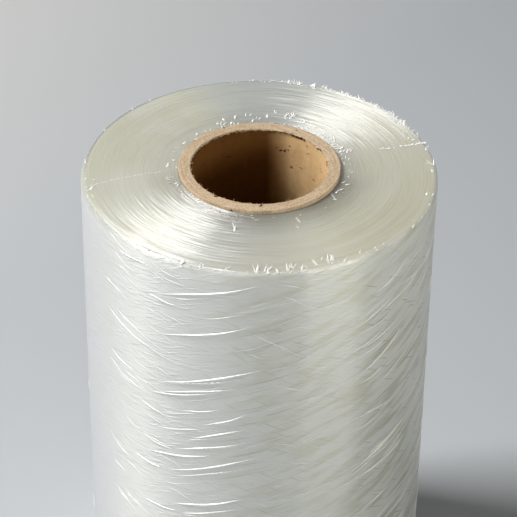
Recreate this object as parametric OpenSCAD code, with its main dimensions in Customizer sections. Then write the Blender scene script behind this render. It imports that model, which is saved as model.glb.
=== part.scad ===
// A machine roll of clear stretch wrap: cling film wound on a paper core, standing on one end.
// The roll's axis is +Z, and the origin is on that axis at the lower end of the core.

/* [Core] */
// Bore of the paper core, the 3 inch size that machine spindles take
core_bore_d = 76.2; // [50:0.1:100]
// Wall of the paper core
core_wall = 7; // [5:0.5:12]
// How far the core stands out of the film at each end
core_overhang = 3.5; // [1:0.5:8]
// Bevel that the cut-off knife leaves on both edges of each end of the core
core_bevel = 0.5; // [0.2:0.1:1.5]

/* [Film] */
// Outside diameter of the wound film
roll_d = 198; // [160:1:260]
// Width of the film, which is the height of the wound film
film_w = 300; // [200:10:520]
// Radius that the outer turns round off to at each end
edge_r = 2.4; // [1:0.2:4]
// Step that the loose end of the film makes down the side of the roll
tail_step = 0.3; // [0.1:0.1:0.6]
// Direction of the loose end, from +X towards +Y
tail_angle = 100; // [0:5:355]

/* [Turns] */
// Number of turns of the spiral that shows on each end of the film
end_turns = 22; // [12:1:30]
// Width of the groove between one turn and the next
groove_w = 0.8; // [0.4:0.1:1.2]
// Depth of the groove between one turn and the next
groove_d = 0.4; // [0.2:0.1:0.8]

/* [Creases] */
// Number of fans of creases, which climb the roll one after another
fans = 14; // [4:1:20]
// Creases in each fan
creases_in_fan = 3; // [1:1:4]
// Distance along the roll from one crease of a fan to the next
crease_pitch = 3.2; // [2.4:0.1:5]
// Height that the longest crease stands above the film
crease_rise = 0.7; // [0.3:0.1:1.2]
// Width of a crease where it leaves the film
crease_w = 1.4; // [0.8:0.1:2]
// Half of the longest crease's span round the roll, in degrees
crease_half_span = 24; // [10:1:30]
// Steepest slope of a crease, up or down, in degrees from a line round the roll
crease_slope = 18; // [0:1:20]

/* [Hidden] */
$fn = 180;

core_r = core_bore_d / 2 + core_wall;
core_len = film_w + 2 * core_overhang;
roll_r = roll_d / 2;
film_bottom = core_overhang;
film_top = core_overhang + film_w;

// Growth of the end spiral in one turn, over the flat part of the film's end
turn_pitch = (roll_r - edge_r - core_r) / end_turns;

// How deep the foot of a crease reaches into the film
crease_root = 2;
// Clear film between the outermost crease and each end
crease_margin = 8;
// Turn from one fan to the next, which keeps neighbours apart round the roll
fan_turn = 137.5;
// Turn from one crease of a fan to the next
fan_spread = 7;

// Radius of the film's side, at an angle that the loose end starts from at 180 degrees
function side_r(a) = sin(a) < 0 ? roll_r + tail_step * (1 - cos(a)) / 2 : roll_r;

// A share from 0 to 1 that wanders with i and never repeats
function wander(i, rate) = (1 + sin(i * rate)) / 2;

// The paper core, wound from strips of board and cut square
module core() {
    color("tan")
    rotate_extrude()
    core_section();
}

module core_section() {
    bore_r = core_bore_d / 2;
    polygon([
        [bore_r + core_bevel, 0],
        [core_r - core_bevel, 0],
        [core_r, core_bevel],
        [core_r, core_len - core_bevel],
        [core_r - core_bevel, core_len],
        [bore_r + core_bevel, core_len],
        [bore_r, core_len - core_bevel],
        [bore_r, core_bevel]
    ]);
}

// The wound film, with its spiral of turns on both ends, its loose end and its creases
module film() {
    color("gainsboro")
    rotate([0, 0, tail_angle - 180])
    difference() {
        union() {
            wound_body();
            creases();
        }
        end_spiral(film_top - groove_d);
        end_spiral(film_bottom - groove_d);
        core_seat();
    }
}

// The hole that the film leaves, which the core fills
module core_seat() {
    translate([0, 0, film_bottom - 1])
    cylinder(r = core_r, h = film_w + 2);
}

module half_turn() {
    rotate_extrude(angle = 180)
    children();
}

// Two half turns about centres half a step apart, which make one step at the loose end
module wound_body() {
    half_turn() film_section(roll_r);
    translate([-tail_step / 2, 0, 0])
    rotate([0, 0, 180])
    half_turn() film_section(roll_r + tail_step / 2);
}

// Half of the film's section, with rounded outer corners
module film_section(outer_r) {
    inside_r = core_r / 2;
    translate([inside_r, film_bottom])
    square([outer_r - edge_r - inside_r, film_w]);
    translate([inside_r, film_bottom + edge_r])
    square([outer_r - inside_r, film_w - 2 * edge_r]);
    for (z = [film_bottom + edge_r, film_top - edge_r])
        translate([outer_r - edge_r, z])
        circle(edge_r);
}

// Grooves at one end, which two half turns join into one spiral from the core to the side
module end_spiral(z) {
    translate([0, 0, z]) {
        half_turn() groove_sections(1, 0);
        translate([-turn_pitch / 2, 0, 0])
        rotate([0, 0, 180])
        half_turn() groove_sections(0, turn_pitch / 2);
    }
}

// The sections of one half turn's grooves, twice as high as the grooves are deep
module groove_sections(first, shift) {
    for (i = [first : end_turns - 2])
        translate([core_r + i * turn_pitch + shift - groove_w / 2, 0])
        square([groove_w, 2 * groove_d]);
}

// Creases that the wound film draws up, in fans that climb the roll and slope both ways
module creases() {
    crease_reach = arc(crease_half_span) * tan(crease_slope);
    fan_reach = (creases_in_fan - 1) * arc(fan_spread) * tan(crease_slope);
    first_z = film_bottom + crease_margin + crease_reach + fan_reach;
    last_z = film_top - crease_margin - crease_reach - fan_reach - (creases_in_fan - 1) * crease_pitch;
    for (i = [0 : fans - 1], j = [0 : creases_in_fan - 1])
        let (
            share = 0.35 + 0.65 * wander(i + 3 * j, 97),
            slope = crease_slope * (2 * wander(i, 61) - 1)
        )
        crease(
            angle = i * fan_turn + j * fan_spread,
            z = first_z + (last_z - first_z) * i / (fans - 1) + j * (crease_pitch + arc(fan_spread) * tan(slope)),
            half_span = crease_half_span * share,
            rise = crease_rise * sqrt(share),
            slope = slope
        );
}

// Length round the roll's side of an angle in degrees
function arc(a) = PI * roll_r * a / 180;

// One crease: a thin ring, set so that it leaves the film and sinks into it again
module crease(angle, z, half_span, rise, slope) {
    local_r = side_r(angle);
    // A sloping cut through the roll is an ellipse, and this is how it bends under the crease
    bend_r = local_r / pow(cos(slope), 2);
    bend_span = half_span * cos(slope);
    sink = rise / (1 - cos(bend_span));
    ring_r = bend_r + rise - sink;
    reach = asin(bend_r * sin(bend_span) / ring_r);
    half_w = crease_w / 2 * (rise + crease_root) / rise;
    rotate([0, 0, angle])
    translate([0, 0, z])
    rotate([slope, 0, 0])
    translate([local_r - bend_r + sink, 0, 0])
    rotate([0, 0, -reach])
    rotate_extrude(angle = 2 * reach)
    translate([ring_r, 0])
    polygon([[-rise - crease_root, -half_w], [0, 0], [-rise - crease_root, half_w]]);
}

core();
film();
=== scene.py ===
# Looks of a roll of stretch wrap: the wound film, its creases and frays, and the paper core.
# Lengths are in metres and angles in radians, unless a name or a comment says millimetres or degrees.
import math
import random

import bpy
import numpy as np
from mathutils import Matrix, Vector


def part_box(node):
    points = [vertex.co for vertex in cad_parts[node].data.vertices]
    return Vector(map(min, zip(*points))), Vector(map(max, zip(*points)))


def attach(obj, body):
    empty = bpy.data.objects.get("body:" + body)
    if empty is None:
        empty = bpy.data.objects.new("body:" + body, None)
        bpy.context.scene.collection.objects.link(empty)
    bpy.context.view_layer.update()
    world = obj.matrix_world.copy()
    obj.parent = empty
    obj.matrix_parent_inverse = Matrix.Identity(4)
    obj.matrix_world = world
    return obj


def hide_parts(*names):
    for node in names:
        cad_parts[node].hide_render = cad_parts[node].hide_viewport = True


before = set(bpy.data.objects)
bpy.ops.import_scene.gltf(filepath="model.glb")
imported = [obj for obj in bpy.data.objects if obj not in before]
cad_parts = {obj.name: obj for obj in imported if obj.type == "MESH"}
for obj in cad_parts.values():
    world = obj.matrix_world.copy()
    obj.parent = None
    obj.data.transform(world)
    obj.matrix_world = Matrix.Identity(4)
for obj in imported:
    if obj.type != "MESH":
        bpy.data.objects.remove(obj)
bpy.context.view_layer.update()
MM = 0.001
FULL_TURN = 2 * math.pi
QUARTER_TURN = math.pi / 2

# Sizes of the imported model
CORE_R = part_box("core")[1][0]
CORE_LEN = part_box("core")[1][2]
BORE_R = 38.1 * MM
FILM_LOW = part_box("film")[0][2]
FILM_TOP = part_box("film")[1][2]
FILM_W_MM = (FILM_TOP - FILM_LOW) / MM
ROLL_R = 99 * MM
EDGE_R = 2.4 * MM
TAIL_STEP = 0.3 * MM
TAIL_ANGLE = math.radians(100)

# The side that the photograph shows faces -Y, which is this angle from +X
FRONT = math.radians(-90)


# Node trees
class Nodes:
    """A short way to write a node tree."""

    def __init__(self, tree):
        self.tree = tree

    def add(self, kind, **values):
        node = self.tree.nodes.new(kind)
        for key, value in values.items():
            setattr(node, key, value)
        return node

    def feed(self, socket, value):
        """Give a socket a number or a colour of its own, or link it to what another node gives."""
        if isinstance(value, (int, float, tuple)):
            socket.default_value = value
        else:
            self.tree.links.new(value, socket)

    def math(self, operation, a, b=0.0):
        node = self.add("ShaderNodeMath", operation=operation)
        self.feed(node.inputs[0], a)
        self.feed(node.inputs[1], b)
        return node.outputs[0]

    def plus(self, a, b):
        return self.math("ADD", a, b)

    def times(self, first, *others):
        product = first
        for other in others:
            product = self.math("MULTIPLY", product, other)
        return product

    def vector(self, operation, a, b=None, scale=None):
        node = self.add("ShaderNodeVectorMath", operation=operation)
        self.feed(node.inputs[0], a)
        if b is not None:
            self.feed(node.inputs[1], b)
        if scale is not None:
            self.feed(node.inputs["Scale"], scale)
        return node.outputs[0]

    def split(self, vector):
        node = self.add("ShaderNodeSeparateXYZ")
        self.feed(node.inputs[0], vector)
        return node.outputs

    def combine(self, x, y, z):
        node = self.add("ShaderNodeCombineXYZ")
        for socket, value in zip(node.inputs, (x, y, z)):
            self.feed(socket, value)
        return node.outputs[0]

    def ramp(self, value, start, end, first=0.0, last=1.0):
        """A number that goes from first to last while value goes from start to end, and is level beyond."""
        node = self.add("ShaderNodeMapRange")
        for socket, number in zip(node.inputs, (value, start, end, first, last)):
            self.feed(socket, number)
        return node.outputs[0]

    def mix(self, share, a, b):
        """A colour that goes from a to b while share goes from 0 to 1."""
        node = self.add("ShaderNodeMix", data_type="RGBA")
        for key, value in zip(("Factor", "A", "B"), (share, a, b)):
            socket = next(s for s in node.inputs if s.name == key and s.enabled)
            self.feed(socket, value)
        return next(s for s in node.outputs if s.enabled)


class Surface(Nodes):
    """A material's nodes, with the place on the roll, its distance from the axis and its way from there."""

    def __init__(self, name):
        self.material = bpy.data.materials.new(name)
        self.material.use_nodes = True
        super().__init__(self.material.node_tree)
        self.shader = self.tree.nodes["Principled BSDF"]
        self.place = self.add("ShaderNodeTexCoord").outputs["Object"]
        self.x, self.y, self.z = self.split(self.place)
        self.radius = self.math("SQRT", self.plus(self.times(self.x, self.x), self.times(self.y, self.y)))
        self.round_x = self.math("DIVIDE", self.x, self.radius)
        self.round_y = self.math("DIVIDE", self.y, self.radius)

    def noise(self, vector, scale=1.0, detail=2.0, roughness=0.5):
        node = self.add("ShaderNodeTexNoise")
        self.feed(node.inputs["Vector"], vector)
        self.feed(node.inputs["Scale"], scale)
        self.feed(node.inputs["Detail"], detail)
        self.feed(node.inputs["Roughness"], roughness)
        return node.outputs[0]

    def ring_noise(self, across_mm, cells_round, detail=2.0, roughness=0.5):
        """Noise drawn out along the turns: its width across them and about how many cells go round."""
        around = cells_round / FULL_TURN
        place = self.combine(self.times(self.radius, 1 / (across_mm * MM)),
                             self.times(self.round_x, around),
                             self.times(self.round_y, around))
        return self.noise(place, detail=detail, roughness=roughness)

    def bump(self, height, distance_mm, normal=None):
        node = self.add("ShaderNodeBump")
        self.feed(node.inputs["Height"], height)
        self.feed(node.inputs["Distance"], distance_mm * MM)
        if normal is not None:
            self.feed(node.inputs["Normal"], normal)
        return node.outputs[0]

    def leaned_normal(self, lean):
        """The surface's normal, leaned along the turns by a share that lean gives."""
        along = self.combine(self.times(self.round_y, -1.0), self.round_x, 0.0)
        normal = self.add("ShaderNodeNewGeometry").outputs["Normal"]
        leaned = self.vector("ADD", normal, self.vector("SCALE", along, scale=lean))
        return self.vector("NORMALIZE", leaned)

    def set(self, **values):
        """Feed the shader's sockets, each named with _ for a space."""
        for key, value in values.items():
            self.feed(self.shader.inputs[key.replace("_", " ")], value)

    def set_wound(self):
        """What all wound film has: a shine drawn out across the turns, and light that goes some way in."""
        self.set(Anisotropic=0.95, Anisotropic_Rotation=0.25)
        self.set(Subsurface_Weight=0.5, Subsurface_Radius=(1.0, 1.0, 0.8), Subsurface_Scale=0.010)


# Colours of the cut ends of the film, where darker and lighter bands of turns take each other's place
SHADED_GREY_TURNS = ((0.45, 0.46, 0.43, 1), (0.48, 0.49, 0.46, 1))
LIT_MILKY_TURNS = ((0.65, 0.64, 0.53, 1), (0.68, 0.675, 0.575, 1))
# More yellow turns, laid on in front on the right
YELLOWER_TURNS = ((0.58, 0.55, 0.41, 1), (0.61, 0.585, 0.47, 1))
YELLOW_CLOUD = (0.60, 0.585, 0.44, 1)
BACK_LEFT_RIM_SHADE = (0.33, 0.34, 0.37, 1)
BROWN_AND_SHADE_BY_CORE = (0.17, 0.15, 0.10, 1)


def film_end_material():
    """The cut edges of the turns: pearly and brushed along the turns, so that they shine in two fans."""
    n = Surface("film_end")
    fine = n.ring_noise(across_mm=0.5, cells_round=22, detail=3.0, roughness=0.6)
    strands = n.ring_noise(across_mm=0.12, cells_round=20, detail=0.0)
    bundles = n.ring_noise(across_mm=0.9, cells_round=12, detail=1.0)
    bands = n.ramp(n.ring_noise(across_mm=6.0, cells_round=4), 0.35, 0.65)
    clouds = n.ramp(n.noise(n.place, scale=28.0, detail=1.0), 0.42, 0.60, 0.0, 0.6)
    grey = n.mix(bands, *SHADED_GREY_TURNS)
    milky = n.mix(clouds, n.mix(bands, *LIT_MILKY_TURNS), YELLOW_CLOUD)
    yellower = n.mix(bands, *YELLOWER_TURNS)
    # Painted light and shade: the turns are grey in front and behind, where the two fans of shine leave the
    # end dark, and milky at the sides, where the fans lie; in front on the right they are more yellow
    sideways = n.ramp(n.times(n.round_x, n.round_x), 0.02, 0.30)
    front_right = n.ramp(n.plus(n.x, n.times(n.y, -0.9)), 0.03, 0.11)
    tint = n.mix(front_right, n.mix(sideways, grey, milky), yellower)
    # Painted shade: where the end rounds off at the back on the left, the film is drawn darker, as a grey
    # line along the rim
    corner = n.ramp(n.radius, ROLL_R - 3.0 * MM, ROLL_R - 2.1 * MM)
    painted_back_left = n.times(n.ramp(n.round_y, -0.1, 0.2), n.ramp(n.round_x, 0.25, 0.0))
    tint = n.mix(n.times(corner, painted_back_left), tint, BACK_LEFT_RIM_SHADE)
    # Next to the core the turns are darker and browner, most of all in front: partly the core's brown
    # showing through the clear turns, and partly painted shade by the core
    close = n.ramp(n.radius, CORE_R + 30 * MM, CORE_R)
    ahead = n.times(n.ramp(n.round_y, 0.0, -0.25, 0.45, 1.0), n.ramp(n.round_x, -0.75, -0.3, 0.65, 1.0))
    tint = n.mix(n.times(close, close, ahead), tint, BROWN_AND_SHADE_BY_CORE)
    n.set(Base_Color=tint, Roughness=n.ramp(fine, 0.3, 0.7, 0.44, 0.52), IOR=3.25)
    n.set_wound()
    # Strands and bundles of turns lean along the turns, each a little in its own way, and spread the shine
    lean = n.plus(n.ramp(strands, 0.3, 0.7, -0.20, 0.20), n.ramp(bundles, 0.3, 0.7, -0.08, 0.08))
    n.set(Normal=n.bump(fine, 0.04, n.leaned_normal(lean)))
    return n.material


# Streaks on the film's side: slope in degrees, length and width in mm, a seed, and the values of the noise
# at which a streak starts to show and shows in full
STREAKS = {
    "rising": (18, 14, 1.3, 1.0, 0.56, 0.74),
    "falling": (-16, 12, 1.3, 5.0, 0.57, 0.75),
    "level": (2, 30, 1.6, 9.0, 0.50, 0.80),
    "patch": (20, 26, 6.0, 3.0, 0.48, 0.62),
    "rising stroke": (17, 36, 1.5, 13.0, 0.60, 0.72),
    "falling stroke": (-27, 18, 1.3, 17.0, 0.64, 0.75),
}
MILKY_SIDE = ((0.86, 0.86, 0.83, 1), (0.835, 0.835, 0.79, 1))
COOL_REFLECTION_SIDE = (0.77, 0.78, 0.79, 1)
GREENISH_SHADE_PATCH = (0.70, 0.69, 0.57, 1)
OLIVE_SHADE_PATCH = (0.54, 0.53, 0.43, 1)
CREASE_SHADE_STROKE = (0.48, 0.48, 0.41, 1)
EDGE_SHADE = (0.60, 0.60, 0.555, 1)


def streaks(n, along, kind):
    """Streaks at a slope to the turns, from 0 between them to 1 on them."""
    slope_deg, length_mm, width_mm, seed, start, full = STREAKS[kind]
    across = n.math("SUBTRACT", n.z, n.times(along, math.tan(math.radians(slope_deg))))
    place = n.combine(n.times(along, 1 / (length_mm * MM)), n.times(across, 1 / (width_mm * MM)), seed)
    return n.ramp(n.noise(place, detail=1.0), start, full)


def film_side_material():
    """The outermost turn: milky, glossy, and finely creased at a slope both ways."""
    n = Surface("film_side")
    # The angle is counted from the loose end, so that the pattern's seam lies there
    turned_x = n.plus(n.times(n.x, -math.cos(TAIL_ANGLE)), n.times(n.y, -math.sin(TAIL_ANGLE)))
    turned_y = n.plus(n.times(n.x, math.sin(TAIL_ANGLE)), n.times(n.y, -math.cos(TAIL_ANGLE)))
    along = n.times(n.math("ARCTAN2", turned_y, turned_x), ROLL_R)
    # Milky film with large faint clouds, and a painted cool reflection on the far left
    cloud = n.noise(n.vector("MULTIPLY", n.place, (12.0, 12.0, 3.0)))
    tint = n.mix(n.ramp(cloud, 0.35, 0.65), *MILKY_SIDE)
    tint = n.mix(n.ramp(n.x, -0.075, -0.097), tint, COOL_REFLECTION_SIDE)
    # Greenish patches, faint behind, and laid on only in front and on the right, away from the lit left, so
    # that they also paint shade there
    away_from_lit_left = n.ramp(n.x, -0.05, 0.03)
    patches = n.times(streaks(n, along, "patch"), n.ramp(n.y, 0.02, -0.05, 0.4, 1.0))
    tint = n.mix(n.times(patches, away_from_lit_left, 0.55), tint, GREENISH_SHADE_PATCH)
    # Painted shade: on the right the patches are darker, and more so lower down, but only a little in the
    # top few centimetres
    painted_shade_below_top = n.ramp(n.z, FILM_TOP - 0.02, FILM_TOP - 0.09, 0.1, 0.4)
    tint = n.mix(n.times(patches, n.ramp(n.x, 0.054, 0.064), painted_shade_below_top), tint, OLIVE_SHADE_PATCH)
    # Painted crease shade: dark strokes away from the lit left, which are fainter where a lamp's reflection
    # makes a milky band right of the middle, and close under the top
    strokes = n.math("MAXIMUM", streaks(n, along, "rising stroke"), streaks(n, along, "falling stroke"))
    band = n.times(n.ramp(n.x, 0.022, 0.030), n.ramp(n.x, 0.060, 0.052))
    strength = n.times(away_from_lit_left, n.ramp(n.x, 0.056, 0.066, 0.70, 0.95), n.ramp(band, 0.0, 1.0, 1.0, 0.4),
                       n.ramp(n.z, FILM_TOP - 0.035, FILM_TOP - 0.010, 1.0, 0.35))
    tint = n.mix(n.times(strokes, strength), tint, CREASE_SHADE_STROKE)
    # Painted shade: the rounded upper edge is drawn darker than the side on the left, most of all at the
    # far left
    edge = n.times(n.ramp(n.z, FILM_TOP - 3.5 * MM, FILM_TOP - 0.5 * MM), n.ramp(n.x, 0.0, -0.07))
    n.set(Base_Color=n.mix(edge, tint, EDGE_SHADE), Roughness=0.42, Metallic=0.28, IOR=1.5)
    n.set_wound()
    n.set(Coat_Weight=0.3, Coat_Roughness=0.12)
    relief = n.plus(n.plus(streaks(n, along, "rising"), streaks(n, along, "falling")),
                    streaks(n, along, "level"))
    n.set(Normal=n.bump(relief, 0.18))
    return n.material


def plain_film(name, base, rough, ior):
    """Loose or folded film, white where its layers lie close."""
    n = Surface(name)
    mottle = n.noise(n.place, scale=900.0)
    n.set(Base_Color=n.mix(mottle, base, (0.97, 0.97, 0.96, 1)), Roughness=rough, IOR=ior)
    return n.material


SPECK = (0.10, 0.05, 0.02, 1)
LEFT_SHADE_TINT = (0.20, 0.13, 0.065, 1)
NO_LEFT_SHADE = (1, 1, 1, 1)


def board_material(name, light, dark, grain, rough, deep=1.0):
    """Brown board in two tones. Where deep is under 1, painted shade darkens it far inside the core, to the
    share that deep gives, and on the left.
    """
    n = Surface(name)
    fibres = n.noise(n.place, scale=grain, detail=4.0, roughness=0.65)
    plies = n.ring_noise(across_mm=0.7, cells_round=30)
    specks = n.ramp(n.noise(n.place, scale=230.0, detail=1.0), 0.70, 0.76)
    shade = n.plus(n.times(fibres, 0.65), n.times(plies, 0.35))
    colour = n.mix(n.ramp(shade, 0.38, 0.62), dark, light)
    if deep < 1:
        # Painted shade far inside the core
        painted_depth_shade = n.ramp(n.z, CORE_LEN - 0.060, CORE_LEN - 0.010, deep, 1.0)
        # Painted shade: the board is much darker on the left and at the back, where the bore is in shade
        painted_left_shade = n.mix(n.ramp(n.round_x, 0.10, 0.48), LEFT_SHADE_TINT, NO_LEFT_SHADE)
        colour = n.vector("MULTIPLY", n.vector("SCALE", colour, scale=painted_depth_shade), painted_left_shade)
    n.set(Base_Color=n.mix(specks, colour, SPECK), Roughness=rough, Specular_IOR_Level=0.12)
    n.set(Normal=n.bump(fibres, 0.25))
    return n.material


def floor_material():
    """Pale paper, with a painted pool of light at the back on the left."""
    n = Surface("floor_paper")
    cloud = n.noise(n.place, scale=1.3)
    paper = n.mix(cloud, (0.55, 0.575, 0.60, 1), (0.575, 0.597, 0.62, 1))
    # Painted light: lighter at the back on the left
    painted_back_left = n.ramp(n.plus(n.y, n.times(n.x, -1.2)), 0.5, 1.05)
    n.set(Base_Color=n.mix(painted_back_left, paper, (0.68, 0.68, 0.675, 1)), Roughness=0.85)
    return n.material


END_FILM = film_end_material()
SIDE_FILM = film_side_material()
CREASE_FILM = plain_film("film_crease", (0.92, 0.92, 0.88, 1), rough=0.3, ior=2.2)
FRAY_FILM = plain_film("film_fray", (0.96, 0.96, 0.95, 1), rough=0.35, ior=1.8)
CUT_BOARD = board_material("board_cut", (0.75, 0.585, 0.41, 1), (0.46, 0.33, 0.205, 1),
                           grain=900.0, rough=0.85)
# The bore's board, with painted shade far inside the core and on its left
BORE_BOARD = board_material("board_bore", (0.96, 0.68, 0.36, 1), (0.86, 0.55, 0.27, 1),
                            grain=220.0, rough=0.75, deep=0.35)
TEAR_SHADE_BOARD = board_material("board_tear_shade", (0.10, 0.05, 0.02, 1), (0.05, 0.02, 0.01, 1),
                            grain=900.0, rough=0.9)
FIBRE = board_material("board_fibre", (0.70, 0.54, 0.38, 1), (0.52, 0.38, 0.24, 1),
                       grain=900.0, rough=0.9)


# Meshes
def new_piece(name, points, faces, materials, node, face_slots=None, smooth=True):
    """A mesh object that rides on the roll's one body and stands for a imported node."""
    mesh = bpy.data.meshes.new(name)
    mesh.from_pydata(points, [], faces)
    for material in materials:
        mesh.materials.append(material)
    if face_slots is not None:
        mesh.polygons.foreach_set("material_index", face_slots)
    mesh.polygons.foreach_set("use_smooth", [smooth] * len(mesh.polygons))
    mesh.update()
    piece = bpy.data.objects.new(name, mesh)
    bpy.context.scene.collection.objects.link(piece)
    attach(piece, "root")
    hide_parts(node)


def ring_points(rows, angles):
    """Points of closed rings about the roll's axis, from each ring's radii and heights."""
    points = []
    for radii, heights in rows:
        points.extend(zip(radii * np.cos(angles), radii * np.sin(angles), heights))
    return points


def ring_faces(rows, columns):
    """Quads between rings, the last of which joins the first."""
    faces = []
    for i in range(rows):
        below = i * columns
        above = (i + 1) % rows * columns
        for j in range(columns):
            k = (j + 1) % columns
            faces.append((below + j, below + k, above + k, above + j))
    return faces


def polar(radius, angle, z):
    return Vector((radius * math.cos(angle), radius * math.sin(angle), z))


def flat_way(angle):
    return Vector((math.cos(angle), math.sin(angle), 0))


# Wound film
FILM_ANGLES = np.linspace(0, FULL_TURN, 288, endpoint=False) + TAIL_ANGLE
# Distance from one turn that shows on the upper end to the next
TURN_MM = 0.42
SIDE_RINGS = 40
CORNER_RINGS = 8
# Rings of each rounded corner that still have the look of the film's end
CORNER_CUT = 2

# How much higher the innermost turns stand, squeezed out along the core, and how far that reaches
COLLAR_MM = 1.2
COLLAR_REACH_MM = 5
# How uneven the turns are over the film's end: one by one, from each to the next, and in waves round it
TURN_SPREAD_MM = 0.005
TURN_DRIFT_MM = 0.006
TURN_WAVE_MM = 0.014
# Width next to the rim in which that ceases
RIM_FADE_MM = 2

# Flats along the film's side: the middle's angle from the front and the half width in degrees, and the
# depth in mm
FLATS = [
    (23, 8, 0.30), (2, 12, 0.22), (-24, 13, 0.30), (47, 15, 0.30), (-58, 18, 0.30),
    (80, 16, 0.30), (115, 17, 0.30), (150, 15, 0.25), (-100, 20, 0.30), (-150, 24, 0.30),
]
# Slow swells of the side: height in mm, how many go round, radians for each metre up, and where they start
SWELLS = [(0.10, 2, 9, 0.0), (0.05, 5, -14, 1.0)]


def side_offset(angle, z):
    """How far the film's side stands off a true cylinder: its loose end, its flats and its slow swells."""
    turn = (angle - TAIL_ANGLE) % FULL_TURN
    offset = TAIL_STEP * (1 + np.cos(turn / 2)) / 2
    for middle_deg, half_deg, depth_mm in FLATS:
        apart = angle - FRONT - math.radians(middle_deg)
        apart = np.abs((apart + math.pi) % FULL_TURN - math.pi) / math.radians(half_deg)
        offset = offset - depth_mm * MM * np.maximum(1 - apart * apart, 0)
    for height_mm, waves, climb, start in SWELLS:
        offset = offset + height_mm * MM * np.sin(waves * angle + climb * z + start)
    return offset


def end_heights(seed, radii):
    """Heights of the film's turns over its flat end, for each radius and angle."""
    rng = np.random.default_rng(seed)
    count = len(radii)
    turns = rng.normal(0, TURN_SPREAD_MM, count)
    drift = np.cumsum(rng.normal(0, TURN_DRIFT_MM, count))
    drift -= np.linspace(drift[0], drift[-1], count)
    wave_size = rng.uniform(0, TURN_WAVE_MM, count)[:, None]
    phase = rng.uniform(0, FULL_TURN, count)[:, None]
    waves = rng.choice([1, 2, 3], count)[:, None]
    heights = (turns + drift)[:, None] + wave_size * np.sin(waves * FILM_ANGLES + phase)
    collar = COLLAR_MM * np.exp(-(radii - CORE_R) / (COLLAR_REACH_MM * MM))
    near_rim = np.clip((ROLL_R - EDGE_R - radii) / (RIM_FADE_MM * MM), 0, 1)
    return (heights * near_rim[:, None] + collar[:, None]) * MM


def film_ring(radius, z):
    """A level ring, or one whose radius or height differs from angle to angle."""
    level = np.zeros_like(FILM_ANGLES)
    return level + radius, level + z


def corner_rows(end_z, inward):
    """Rings of a rounded corner, from the flat end to the side."""
    rows = []
    for a in np.linspace(0, QUARTER_TURN, CORNER_RINGS):
        z = end_z + inward * EDGE_R * (1 - math.cos(a))
        rows.append(film_ring(ROLL_R - EDGE_R + (EDGE_R + side_offset(FILM_ANGLES, z)) * math.sin(a), z))
    return rows


def make_film():
    """The wound film, from the core over its lower end, up its side and over its upper end to the core."""
    radii = np.arange(CORE_R, ROLL_R - EDGE_R, TURN_MM * MM)
    # The lower end is out of sight and has half as many rings
    low_radii = radii[::2]
    low = [film_ring(r, FILM_LOW - height) for r, height in zip(low_radii, end_heights(23, low_radii))]
    low += corner_rows(FILM_LOW, 1)
    side = [film_ring(ROLL_R + side_offset(FILM_ANGLES, z), z)
            for z in np.linspace(FILM_LOW + EDGE_R, FILM_TOP - EDGE_R, SIDE_RINGS)[1:-1]]
    top = [film_ring(r, FILM_TOP + height) for r, height in zip(radii, end_heights(11, radii))]
    top += corner_rows(FILM_TOP, -1)
    rows = low + side + top[::-1]
    # Strips of faces with the look of an end, before and after those of the side
    low_strips = len(low) - CORNER_RINGS + CORNER_CUT
    top_strips = len(top) - CORNER_RINGS + CORNER_CUT + 1
    slots = [0] * low_strips + [1] * (len(rows) - low_strips - top_strips) + [0] * top_strips
    faces = ring_faces(len(rows), len(FILM_ANGLES))
    new_piece("film_wrap", ring_points(rows, FILM_ANGLES), faces, [END_FILM, SIDE_FILM],
              "film", face_slots=np.repeat(slots, len(FILM_ANGLES)))


# Creases: the middle's angle from the front in degrees, the depth under the top in mm, the half span and
# the slope in degrees, and the height in mm
MAIN_CREASES = [
    (-16, 16, 17, 17, 0.8), (-42, 9, 7, 0, 0.6), (-31, 28, 5, -4, 0.65),
    (-44, 60, 11, -14, 0.7), (-41, 56, 10, -19, 0.6), (-17, 43, 16, 18, 0.8),
    (-15, 73, 18, 19, 0.95), (-17, 76, 15, 18, 0.8), (-19, 83, 13, 17, 0.75),
    (-22, 86, 15, 17, 0.9), (-35, 105, 6, -17, 0.8), (-10, 100, 7, 26, 0.75),
    (-12, 110, 9, 21, 0.9), (-14, 113, 8, 19, 0.75), (-14, 120, 13, 19, 0.8),
    (-27, 132, 12, 15, 0.8), (-14, 134, 15, 21, 0.9), (-14, 139, 13, 20, 0.8),
    (-16, 162, 12, 18, 0.8), (-15, 168, 10, 17, 0.75), (-34, 128, 6, -8, 0.65),
    (-38, 145, 6, -1, 0.65), (-34, 174, 7, 3, 0.65), (18, 26, 13, 9, 0.65),
    (6, 47, 7, -33, 0.35), (14, 57, 9, 26, 0.65), (15, 86, 12, 14, 0.75),
    (18, 114, 7, 12, 0.65), (15, 153, 10, 14, 0.65), (40, 41, 8, 18, 0.8),
    (43, 58, 8, 13, 0.8), (44, 71, 9, 30, 0.75), (41, 109, 11, 2, 0.75),
    (45, 139, 13, 20, 0.8), (47, 150, 12, 13, 0.8), (62, 32, 14, 1, 0.75),
]

# Families of lesser creases: how many, then the ranges of angle, slope, half span and height
CREASE_FAMILIES = [
    (60, (-52, -25), (-20, -10), (3, 7), (0.15, 0.40)),
    (26, (-34, 2), (13, 21), (3, 9), (0.15, 0.35)),
    (34, (0, 36), (12, 22), (3, 9), (0.15, 0.32)),
    (22, (-2, 34), (-30, -14), (2, 6), (0.15, 0.28)),
    (50, (36, 84), (8, 24), (4, 11), (0.20, 0.45)),
    (60, (84, 176), (10, 22), (4, 14), (0.20, 0.50)),
    (46, (90, 276), (-20, -6), (3, 12), (0.20, 0.45)),
    (50, (176, 272), (8, 20), (4, 14), (0.20, 0.50)),
]
CREASE_MARGIN_MM = 5
# How far a crease wanders off its line
CREASE_SWAY_MM = 0.4
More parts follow.
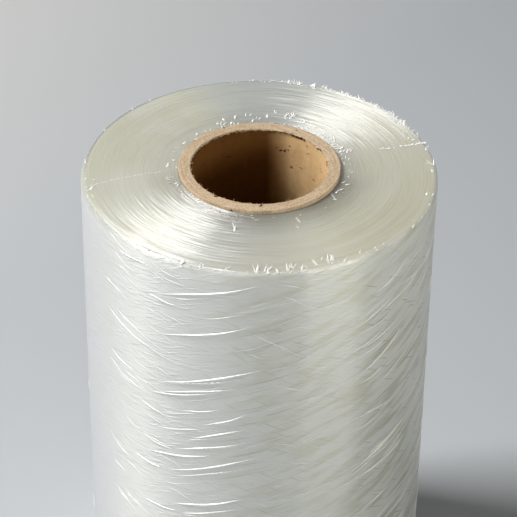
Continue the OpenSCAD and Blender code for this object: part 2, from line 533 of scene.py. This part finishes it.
# Creases over this height are beaded, and are made in finer steps
TALL_CREASE_MM = 0.55
STEPS_A_DEGREE = 2.6
TALL_STEPS_A_DEGREE = 5.5

# Points across a crease: share of its width, and share of its height where above the film
CREASE_SECTION = ((-0.5, -1.0), (-0.36, 0.25), (-0.14, 1.0), (0.06, 0.95), (0.36, 0.22), (0.5, -1.0))
CREASE_FOOT_MM = 0.25


def crease_rows():
    """The main creases and then the lesser ones, at random places in their families' ranges."""
    rng = random.Random(5)
    rows = list(MAIN_CREASES)
    for count, angles, slopes, halves, heights in CREASE_FAMILIES:
        for _ in range(count):
            angle_deg = rng.uniform(*angles)
            depth_mm = rng.uniform(CREASE_MARGIN_MM, FILM_W_MM - CREASE_MARGIN_MM)
            half_deg = rng.uniform(*halves)
            slope_deg = rng.uniform(*slopes)
            rows.append((angle_deg, depth_mm, half_deg, slope_deg, rng.uniform(*heights)))
    return rows


def crease_spine(row, steps, wave):
    """Angle, height on the roll and share of the full rise at each step along a crease."""
    angle_deg, depth_mm, half_deg, slope_deg, _ = row
    for i in range(steps + 1):
        t = 2 * i / steps - 1
        arc = math.radians(half_deg) * t
        z = FILM_TOP - depth_mm * MM + math.tan(math.radians(slope_deg)) * ROLL_R * arc
        z += CREASE_SWAY_MM * MM * math.sin(3 * t + wave)
        z = min(max(z, FILM_LOW + EDGE_R), FILM_TOP - EDGE_R)
        yield FRONT + math.radians(angle_deg) + arc, z, 1 - t * t


def make_creases():
    """Creases that the film draws up, as closed ridges with a foot in the film."""
    rng = random.Random(9)
    points = []
    faces = []
    across = len(CREASE_SECTION)
    for row in crease_rows():
        half_deg, height_mm = row[2], row[4]
        tall = height_mm > TALL_CREASE_MM
        steps = max(8, int(half_deg * (TALL_STEPS_A_DEGREE if tall else STEPS_A_DEGREE)))
        wave = rng.uniform(0, FULL_TURN)
        wide = rng.uniform(0.85, 1.15) * (0.5 + 0.6 * height_mm) * MM
        beads = rng.uniform(0.1, 0.6) if tall else 0
        bead_mm = rng.uniform(0.4, 0.6)
        first = len(points)
        for angle, z, swell in crease_spine(row, steps, wave):
            skin = ROLL_R + float(side_offset(np.array(angle), z))
            bead = 1 - beads * (1 + math.sin(angle * ROLL_R / (bead_mm * MM) + wave)) / 2
            for v, h in CREASE_SECTION:
                lift_mm = h * height_mm * swell * bead if h > 0 else -CREASE_FOOT_MM
                point = polar(skin + lift_mm * MM, angle, z + v * wide * (0.3 + 0.7 * swell))
                points.append(tuple(point))
        for i in range(steps):
            a = first + i * across
            b = a + across
            for k in range(across):
                n = (k + 1) % across
                faces.append((a + k, b + k, b + n, a + n))
        last = first + steps * across
        faces.append(tuple(first + k for k in range(across)))
        faces.append(tuple(last + k for k in reversed(range(across))))
    new_piece("film_creases", points, faces, [CREASE_FILM], "film")


# Slivers
class Slivers:
    """Thin tapered strips that leave a surface at their base, gathered into one mesh."""

    STEPS = 5
    # A strip's section: share of its half width, and share of its thickness
    SECTION = ((-1, 0), (0, 1), (1, 0))
    # A leaf's outline and then its middle: shares of its width and its length, and 1 where it is raised
    LEAF = ((0, 0, 0), (0.5, 0.3, 0), (0.35, 0.7, 0), (0, 1, 0), (-0.4, 0.6, 0), (-0.5, 0.2, 0),
            (0, 0.4, 1))
    # How deep a leaf's outline lies in the wall, and how far its middle is raised from there
    LEAF_SINK_MM = 0.03
    LEAF_RISE_MM = 0.16

    def __init__(self):
        self.points = []
        self.faces = []

    def add(self, base, along, length_mm, width_mm, lift_mm, bend_mm, thick_mm=0.08):
        """A strip from base, which by its tip has risen by its lift and gone sideways by its bend."""
        up = Vector((0, 0, 1))
        side = along.cross(up).normalized()
        first = len(self.points)
        for i in range(self.STEPS + 1):
            t = i / self.STEPS
            spine = base + (along * length_mm * t + side * bend_mm * t * t + up * lift_mm * t) * MM
            half_mm = width_mm / 2 * (1 - t) ** 0.6 + 0.04
            for s, h in self.SECTION:
                self.points.append(tuple(spine + (side * half_mm * s + up * thick_mm * h) * MM))
        for i in range(self.STEPS):
            a = first + i * 3
            for k in range(3):
                n = (k + 1) % 3
                self.faces.append((a + k, a + n, a + 3 + n, a + 3 + k))
        last = first + self.STEPS * 3
        self.faces.append((first + 2, first + 1, first))
        self.faces.append((last, last + 1, last + 2))

    def scatter(self, rng, base, along, lengths, widths, lifts, bend):
        """Add a strip of random size, with a range in mm for each measure and the most that it may bend."""
        self.add(base, along, rng.uniform(*lengths), rng.uniform(*widths), rng.uniform(*lifts),
                 rng.uniform(-bend, bend))

    def add_leaf(self, base, along, length_mm, width_mm):
        """A torn leaf that lies on the bore's wall and follows its curve."""
        inward = Vector((-base.x, -base.y, 0)).normalized()
        across = along.cross(inward).normalized()
        first = len(self.points)
        for s, t, h in self.LEAF:
            spot = base + (across * width_mm * s + along * length_mm * t) * MM
            radius = BORE_R + (self.LEAF_SINK_MM - self.LEAF_RISE_MM * h) * MM
            share = radius / math.hypot(spot.x, spot.y)
            self.points.append((spot.x * share, spot.y * share, spot.z))
        outline = len(self.LEAF) - 1
        for k in range(outline):
            self.faces.append((first + k, first + (k + 1) % outline, first + outline))
        self.faces.append(tuple(first + k for k in reversed(range(outline))))


# Clumps of torn film: distance from the axis in mm, angle from +X in degrees, reach along the turn in mm,
# count, length in mm and the way that they point in degrees
CLUMPS = [
    (97, -90, 1.6, 6, 4.4, 90), (97, -88, 1.4, 4, 4.0, 80), (98, -84, 0.6, 2, 3.2, 95),
    (97, -81, 0.5, 2, 4.0, 75), (95, -79, 0.6, 3, 4.4, 110), (97, -77, 0.5, 2, 3.2, 80),
    (96, -74, 0.5, 1, 3.0, 110), (95, -71, 0.9, 4, 4.6, 120), (91, -69, 0.3, 1, 3.4, 60),
    (95, -67, 1.0, 4, 4.6, 120), (95, -65, 0.9, 4, 4.4, 130), (97, -63, 0.8, 2, 3.0, 120),
    (96, -56, 0.6, 2, 2.8, 100), (97, -100, 1.2, 3, 2.6, 60), (97, -108, 1.5, 4, 2.4, 20),
    (98, -115, 1.5, 4, 2.6, 10), (96, 80, 0.8, 4, 3.2, 70), (97, 78, 0.6, 2, 2.8, 110),
    (95, 76, 0.6, 3, 3.0, 60), (97, 72, 0.9, 4, 3.2, 20), (94, 70, 0.9, 5, 3.2, 150),
    (97, 67, 0.8, 3, 2.8, 40), (96, 60, 2.0, 5, 2.6, 130), (97, 52, 3.0, 8, 2.8, 140),
    (97, 44, 3.0, 9, 3.0, 130), (97, 38, 2.6, 9, 3.2, 120), (96, 33, 2.4, 10, 3.4, 130),
    (96, 30, 1.6, 6, 3.2, 110), (94, 26, 1.2, 4, 3.0, 150), (91, 22, 1.0, 3, 2.4, 60),
    (97, 14, 1.0, 2, 2.6, 100), (97, 5, 0.6, 3, 4.4, 150), (96, 0, 0.8, 2, 2.2, 60),
    (93, -14, 0.5, 1, 2.4, 70), (52, 117, 1.2, 3, 2.4, 60), (55, 111, 1.2, 4, 2.8, 120),
    (56, 106, 1.2, 4, 2.8, 60), (58, 97, 1.2, 3, 2.4, 90), (54, 92, 1.5, 4, 2.6, 40),
    (56, 85, 1.5, 4, 2.6, 110), (61, 82, 1.0, 3, 2.4, 70), (57, 75, 2.6, 9, 3.4, 60),
    (60, 72, 1.6, 6, 3.4, 110), (57, 65, 1.6, 5, 2.8, 20), (51, 58, 2.0, 5, 2.6, 150),
    (50, 50, 2.4, 7, 2.8, 140), (52, 43, 2.2, 9, 3.4, 135), (52, 37, 1.8, 8, 3.4, 130),
    (50, 28, 1.4, 4, 2.6, 60), (52, 22, 1.2, 5, 3.0, 30), (55, 22, 0.9, 3, 2.6, 80),
    (49, 13, 1.4, 4, 2.8, 60), (49, 6, 1.4, 5, 3.2, 100), (49, -1, 1.4, 4, 2.6, 30),
    (49, -9, 1.0, 2, 2.0, 60), (51, 136, 1.0, 3, 2.6, 60), (51, 149, 1.2, 4, 2.8, 20),
    (52, 156, 1.2, 3, 2.4, 40), (51, 170, 1.0, 2, 2.2, 10), (52, 178, 1.4, 5, 3.0, 30),
    (53, -169, 1.4, 4, 2.8, 10), (50, -160, 1.6, 6, 3.4, 15), (49, -150, 1.4, 3, 2.6, 30),
    (48, -143, 2.0, 7, 3.2, 10), (48, -136, 2.2, 8, 3.4, 0), (47, -128, 2.2, 7, 3.2, 10),
    (48, -120, 1.8, 5, 2.8, 20), (48, -113, 1.4, 4, 2.6, 40), (47, -103, 1.2, 3, 2.2, 60),
    (47, -94, 1.2, 3, 2.2, 90), (61, -102, 0.3, 2, 5.4, 92), (56, -66, 0.4, 2, 5.2, 125),
    (60, -69, 0.3, 1, 3.6, 125), (52, -35, 0.3, 1, 5.2, 130), (96, -167, 1.0, 3, 2.6, 30),
    (93, -173, 0.8, 2, 2.4, 20),
]

# Lesser frays: the middle's angle from +X and the half spread in degrees, and the count
RIM_FRAYS = [(-90, 40, 40), (48, 26, 60), (75, 20, 24), (-150, 30, 40), (180, 170, 60)]
CORE_FRAYS = [(-130, 40, 46), (70, 50, 70), (180, 170, 60)]

# Cuts across the turns: distance from the axis in mm and angle in degrees at both ends, share that shows,
# and width in mm
CUTS = [
    (97.5, -168.9, 51.4, -178.1, 0.86, 0.55),
    (82.0, 18.6, 99.0, 18.4, 0.95, 2.2),
    (68.0, 20.0, 80.0, 18.2, 0.6, 2.0),
]
# Distance from one flake to the next along a cut
FLAKE_MM = 1.2


def make_frays():
    """Torn flakes of film on the upper end: the clumps, the frays at the rim and the core, and the cuts."""
    rng = random.Random(21)
    frays = Slivers()
    for radius_mm, angle_deg, reach_mm, count, length_mm, way_deg in CLUMPS:
        for _ in range(count):
            a = math.radians(angle_deg) + rng.uniform(-reach_mm, reach_mm) / radius_mm
            base = polar((radius_mm + rng.uniform(-1, 1)) * MM, a, FILM_TOP - 0.3 * MM)
            length = length_mm * rng.uniform(0.6, 1.1)
            way = flat_way(math.radians(way_deg + rng.gauss(0, 28)))
            width = rng.uniform(0.45, 1.1)
            lift = length * rng.uniform(0.25, 0.6) + 0.3
            frays.add(base, way, length, width, lift, rng.uniform(-0.25, 0.25), thick_mm=0.15)
    for angle_deg, spread_deg, count in RIM_FRAYS:
        for _ in range(count):
            a = math.radians(angle_deg + rng.uniform(-spread_deg, spread_deg))
            base = polar(ROLL_R - rng.uniform(0.8, 4.0) * MM, a, FILM_TOP - 0.25 * MM)
            way = flat_way(a + rng.choice((QUARTER_TURN, -QUARTER_TURN)) * rng.uniform(0.2, 1.1))
            frays.scatter(rng, base, way, (0.8, 2.4), (0.35, 0.9), (0.4, 0.9), 0.3)
    for angle_deg, spread_deg, count in CORE_FRAYS:
        for _ in range(count):
            a = math.radians(angle_deg + rng.uniform(-spread_deg, spread_deg))
            base = polar(CORE_R + (0.5 + abs(rng.gauss(0, 2.6))) * MM, a, FILM_TOP + 0.4 * MM)
            way = flat_way(a + rng.uniform(-1.4, 1.4))
            frays.scatter(rng, base, way, (0.8, 3.0), (0.35, 1.0), (0.5, 1.2), 0.3)
    for near_mm, near_deg, far_mm, far_deg, share, width_mm in CUTS:
        flakes = int(abs(far_mm - near_mm) / FLAKE_MM)
        away = 1 if far_mm > near_mm else -1
        for i in range(flakes):
            if rng.random() > share:
                continue
            t = (i + rng.uniform(-0.2, 0.2)) / flakes
            a = math.radians(near_deg + (far_deg - near_deg) * t)
            base = polar((near_mm + (far_mm - near_mm) * t) * MM, a, FILM_TOP - 0.1 * MM)
            way = flat_way(a + rng.uniform(-0.4, 0.4)) * away
            frays.scatter(rng, base, way, (1.2, 2.2), (0.6 * width_mm, 1.3 * width_mm), (0.2, 0.5), 0.4)
    new_piece("film_frays", frays.points, frays.faces, [FRAY_FILM], "film", smooth=False)


# Paper core
CORE_ANGLES = np.linspace(0, FULL_TURN, 300, endpoint=False)
CORE_SKIN = CORE_R - 0.05 * MM
PLIES = 11
RINGS_A_PLY = 3
# How far from the cut ends the torn edges begin
LIP = 0.9 * MM
BORE_RINGS = 110
SKIN_RINGS = 4
# Height that the seam of the innermost strip climbs in a turn, and the seam's depth and half width
SEAM_PITCH = 0.19
SEAM_MM = 0.28
SEAM_HALF_MM = 0.9


def ragged(rng, size_mm, smooth):
    """Random dents round the axis, evened out over a few neighbours."""
    raw = rng.normal(0, 1, len(CORE_ANGLES))
    looped = np.concatenate([raw[-smooth:], raw, raw[:smooth]])
    return np.convolve(looped, np.ones(smooth) / smooth, "same")[smooth:-smooth] * size_mm * MM


def core_end_rows(rng, z_end, outward):
    """Rings over one cut end from the bore to the outside, with the plies' edges."""
    wall = CORE_R - BORE_R
    flat = np.zeros_like(CORE_ANGLES)
    rings = PLIES * RINGS_A_PLY
    # The torn inner edge
    rows = [(BORE_R + ragged(rng, 0.10, 3), flat + z_end - outward * LIP),
            (BORE_R + 0.15 * MM + abs(ragged(rng, 0.35, 2)),
             z_end - outward * (0.25 * MM + abs(ragged(rng, 0.2, 2))))]
    # The cut face, which is a little lower where two plies meet
    for i in range(rings):
        t = (i + 0.5) / rings
        edge = 0.12 * MM if i % RINGS_A_PLY == 1 else 0.0
        rows.append((BORE_R + 0.5 * MM + t * (wall - 0.9 * MM) + ragged(rng, 0.02, 2),
                     z_end + outward * (ragged(rng, 0.05, 3) - edge - 0.05 * MM)))
    # The outer edge
    rows.append((CORE_R - 0.12 * MM + ragged(rng, 0.06, 2), flat + z_end - outward * 0.3 * MM))
    rows.append((flat + CORE_SKIN, flat + z_end - outward * LIP))
    return rows


def bore_rows():
    """Rings down the bore, with the groove where the innermost strip's edges meet."""
    rows = []
    for z in np.linspace(CORE_LEN - 1.5 * MM, 1.5 * MM, BORE_RINGS):
        turn = (CORE_ANGLES - FULL_TURN * z / SEAM_PITCH) % FULL_TURN
        apart = np.minimum(turn, FULL_TURN - turn) * BORE_R
        groove = SEAM_MM * MM * np.exp(-(apart / (SEAM_HALF_MM * MM)) ** 2)
        rows.append((BORE_R + groove, np.full_like(CORE_ANGLES, z)))
    return rows


def make_core():
    """The core, from its upper end down the bore, over its lower end and up the outside."""
    rng = np.random.default_rng(31)
    top = core_end_rows(rng, CORE_LEN, 1)[::-1]
    bore = bore_rows()
    low = core_end_rows(rng, 0.2 * MM, -1)
    skin = [(np.full_like(CORE_ANGLES, CORE_SKIN), np.full_like(CORE_ANGLES, z))
            for z in np.linspace(2 * MM, CORE_LEN - 2 * MM, SKIN_RINGS)]
    rows = top + bore + low + skin
    slots = [0] * len(top) + [1] * len(bore) + [0] * (len(low) + len(skin))
    faces = ring_faces(len(rows), len(CORE_ANGLES))
    new_piece("core_board", ring_points(rows, CORE_ANGLES), faces, [CUT_BOARD, BORE_BOARD],
              "core", face_slots=np.repeat(slots, len(CORE_ANGLES)))


# Torn spots in the bore, drawn as dark leaves of painted shade: angle from +X in degrees, and depth under
# the core's end, length and width in mm
SPOTS = [
    (70, 12.6, 3.0, 1.5), (66, 12.0, 1.8, 1.2), (50, 0.9, 2.6, 1.6), (54, 1.6, 1.6, 1.2),
    (28, 0.7, 2.2, 1.5), (36, 24.0, 1.8, 0.9), (52, 21.0, 1.6, 0.8), (24, 14.0, 1.6, 0.7),
    (44, 9.0, 1.4, 0.7), (118, 16.0, 2.0, 1.0),
]
PALE_FIBRES = 150
SHADE_TEARS = 240


def make_fuzz():
    """Torn fibres along the inner edge of the core's upper end, dark tears of painted shade behind them,
    and torn spots, dark with painted shade.
    """
    rng = random.Random(41)
    fuzz = Slivers()
    for _ in range(PALE_FIBRES):
        a = rng.uniform(0, FULL_TURN)
        base = polar(BORE_R + rng.uniform(0.1, 0.8) * MM, a, CORE_LEN - 0.35 * MM)
        along = flat_way(a + math.pi + rng.uniform(-1.2, 1.2))
        along.z = rng.uniform(-0.6, 0.5)
        fuzz.scatter(rng, base, along.normalized(), (0.6, 1.9), (0.12, 0.35), (0, 0.4), 0.5)
    pale_faces = len(fuzz.faces)
    # Dark tears of painted shade under the inner edge, at the back and on the left
    for _ in range(SHADE_TEARS):
        a = math.radians(rng.uniform(48, 235))
        base = polar(BORE_R - 0.05 * MM, a, CORE_LEN - rng.uniform(0.5, 1.1) * MM)
        along = flat_way(a + rng.choice((QUARTER_TURN, -QUARTER_TURN)))
        along.z = -rng.uniform(0.1, 1.2)
        length = rng.uniform(0.8, 2.4)
        fuzz.add(base, along.normalized(), length, rng.uniform(0.5, 1.1), 0, 0, thick_mm=0.05)
    for angle_deg, depth_mm, length_mm, width_mm in SPOTS:
        a = math.radians(angle_deg)
        base = polar(BORE_R - 0.10 * MM, a, CORE_LEN - depth_mm * MM)
        for way in (QUARTER_TURN, -QUARTER_TURN):
            along = flat_way(a + way)
            along.z = rng.uniform(-0.5, 0.1)
            fuzz.add_leaf(base, along.normalized(), length_mm, width_mm)
    slots = [0] * pale_faces + [1] * (len(fuzz.faces) - pale_faces)
    new_piece("core_fuzz", fuzz.points, fuzz.faces, [FIBRE, TEAR_SHADE_BOARD], "core",
              face_slots=slots, smooth=False)


make_film()
make_creases()
make_frays()
make_core()
make_fuzz()

# Floor
FLOOR_HALF = 6.0
floor_mesh = bpy.data.meshes.new("floor")
floor_mesh.from_pydata([(-FLOOR_HALF, -FLOOR_HALF, 0), (FLOOR_HALF, -FLOOR_HALF, 0),
                        (FLOOR_HALF, FLOOR_HALF, 0), (-FLOOR_HALF, FLOOR_HALF, 0)], [], [(0, 1, 2, 3)])
floor_mesh.materials.append(floor_material())
floor = bpy.data.objects.new("floor", floor_mesh)
bpy.context.scene.collection.objects.link(floor)

# Lamps: the point that each one faces, the way to it from there, how far, its width and height, and the
# level and colour of its light
LAMPS = {
    "key_left": ((0, 0, FILM_TOP), (-0.637, 0.055, 0.769), 2.6, (0.74, 0.74), 1.15, (1.0, 1.0, 0.99)),
    "low_left": ((0, 0, 0.30), (-0.56, -0.83, 0.0), 1.0, (1.0, 0.30), 0.160, (0.97, 0.985, 1.0)),
    "low_right": ((0, 0, 0.45), (0.68, -0.733, -0.06), 0.5, (0.30, 0.11), 0.345, (1.0, 0.99, 0.88)),
    "far_right": ((0, 0, 0.56), (0.94, -0.34, -0.36), 0.48, (0.30, 0.08), 0.035, (1.0, 0.98, 0.86)),
}


def add_lamp(name, aim, way, distance, size, level, colour):
    """A lamp that faces a point from the given way, and lights white paper there to the given level."""
    way = Vector(way).normalized()
    lamp = bpy.data.lights.new(name, "AREA")
    lamp.shape = "RECTANGLE"
    lamp.size, lamp.size_y = size
    lamp.energy = level * (math.pi * distance) ** 2
    lamp.color = colour
    holder = bpy.data.objects.new(name, lamp)
    holder.location = Vector(aim) + way * distance
    holder.rotation_mode = "QUATERNION"
    holder.rotation_quaternion = (-way).to_track_quat("-Z", "Y")
    holder.visible_camera = False
    bpy.context.scene.collection.objects.link(holder)


for lamp_name, lamp_values in LAMPS.items():
    add_lamp(lamp_name, *lamp_values)

# World: dim light on the object, and the pale studio that is seen past the floor, from left to right
AMBIENT = 0.04
AMBIENT_COLOUR = (0.96, 0.98, 1.0, 1)
PALE_LEFT = (0.58, 0.60, 0.62, 1)
PALE_RIGHT = (0.33, 0.34, 0.345, 1)


def make_world():
    """One background lights the object, and the other is what the camera and the reflections see."""
    world = bpy.data.worlds.new("studio")
    world.use_nodes = True
    n = Nodes(world.node_tree)
    lit = n.tree.nodes["Background"]
    n.feed(lit.inputs["Color"], AMBIENT_COLOUR)
    n.feed(lit.inputs["Strength"], AMBIENT)
    seen = n.add("ShaderNodeBackground")
    rightward = n.split(n.add("ShaderNodeTexCoord").outputs["Generated"])[0]
    n.feed(seen.inputs["Color"], n.mix(n.ramp(rightward, -0.8, 0.8), PALE_LEFT, PALE_RIGHT))
    rays = n.add("ShaderNodeLightPath").outputs
    direct = n.math("MAXIMUM", rays["Is Camera Ray"], rays["Is Glossy Ray"])
    direct = n.math("MAXIMUM", direct, rays["Is Transmission Ray"])
    blend = n.add("ShaderNodeMixShader")
    for socket, value in zip(blend.inputs, (direct, lit.outputs[0], seen.outputs[0])):
        n.feed(socket, value)
    n.feed(n.tree.nodes["World Output"].inputs["Surface"], blend.outputs[0])
    bpy.context.scene.world = world


make_world()

# Camera: where it stands, how far it looks down and leans to its side, and its lens
EYE = Vector((0, -1.0498, FILM_TOP + 0.6802))
LOOK_DOWN = math.radians(35.18)
SIDE_LEAN = math.radians(0.704)
LENS_MM = 156.8
SENSOR_MM = 36


def make_camera():
    """The photograph's view of the roll, from the front and above."""
    ahead = Vector((0, math.cos(LOOK_DOWN), -math.sin(LOOK_DOWN)))
    level_right = Vector((1, 0, 0))
    level_up = Vector((0, math.sin(LOOK_DOWN), math.cos(LOOK_DOWN)))
    right = level_right * math.cos(SIDE_LEAN) + level_up * math.sin(SIDE_LEAN)
    up = level_up * math.cos(SIDE_LEAN) - level_right * math.sin(SIDE_LEAN)
    lens = bpy.data.cameras.new("camera")
    lens.lens = LENS_MM
    lens.sensor_width = SENSOR_MM
    lens.clip_start = 0.05
    lens.clip_end = 50
    camera = bpy.data.objects.new("camera", lens)
    camera.matrix_world = Matrix((
        (right.x, up.x, -ahead.x, EYE.x),
        (right.y, up.y, -ahead.y, EYE.y),
        (right.z, up.z, -ahead.z, EYE.z),
        (0, 0, 0, 1),
    ))
    bpy.context.scene.collection.objects.link(camera)
    bpy.context.scene.camera = camera


make_camera()
bpy.context.scene.view_settings.view_transform = "Standard"
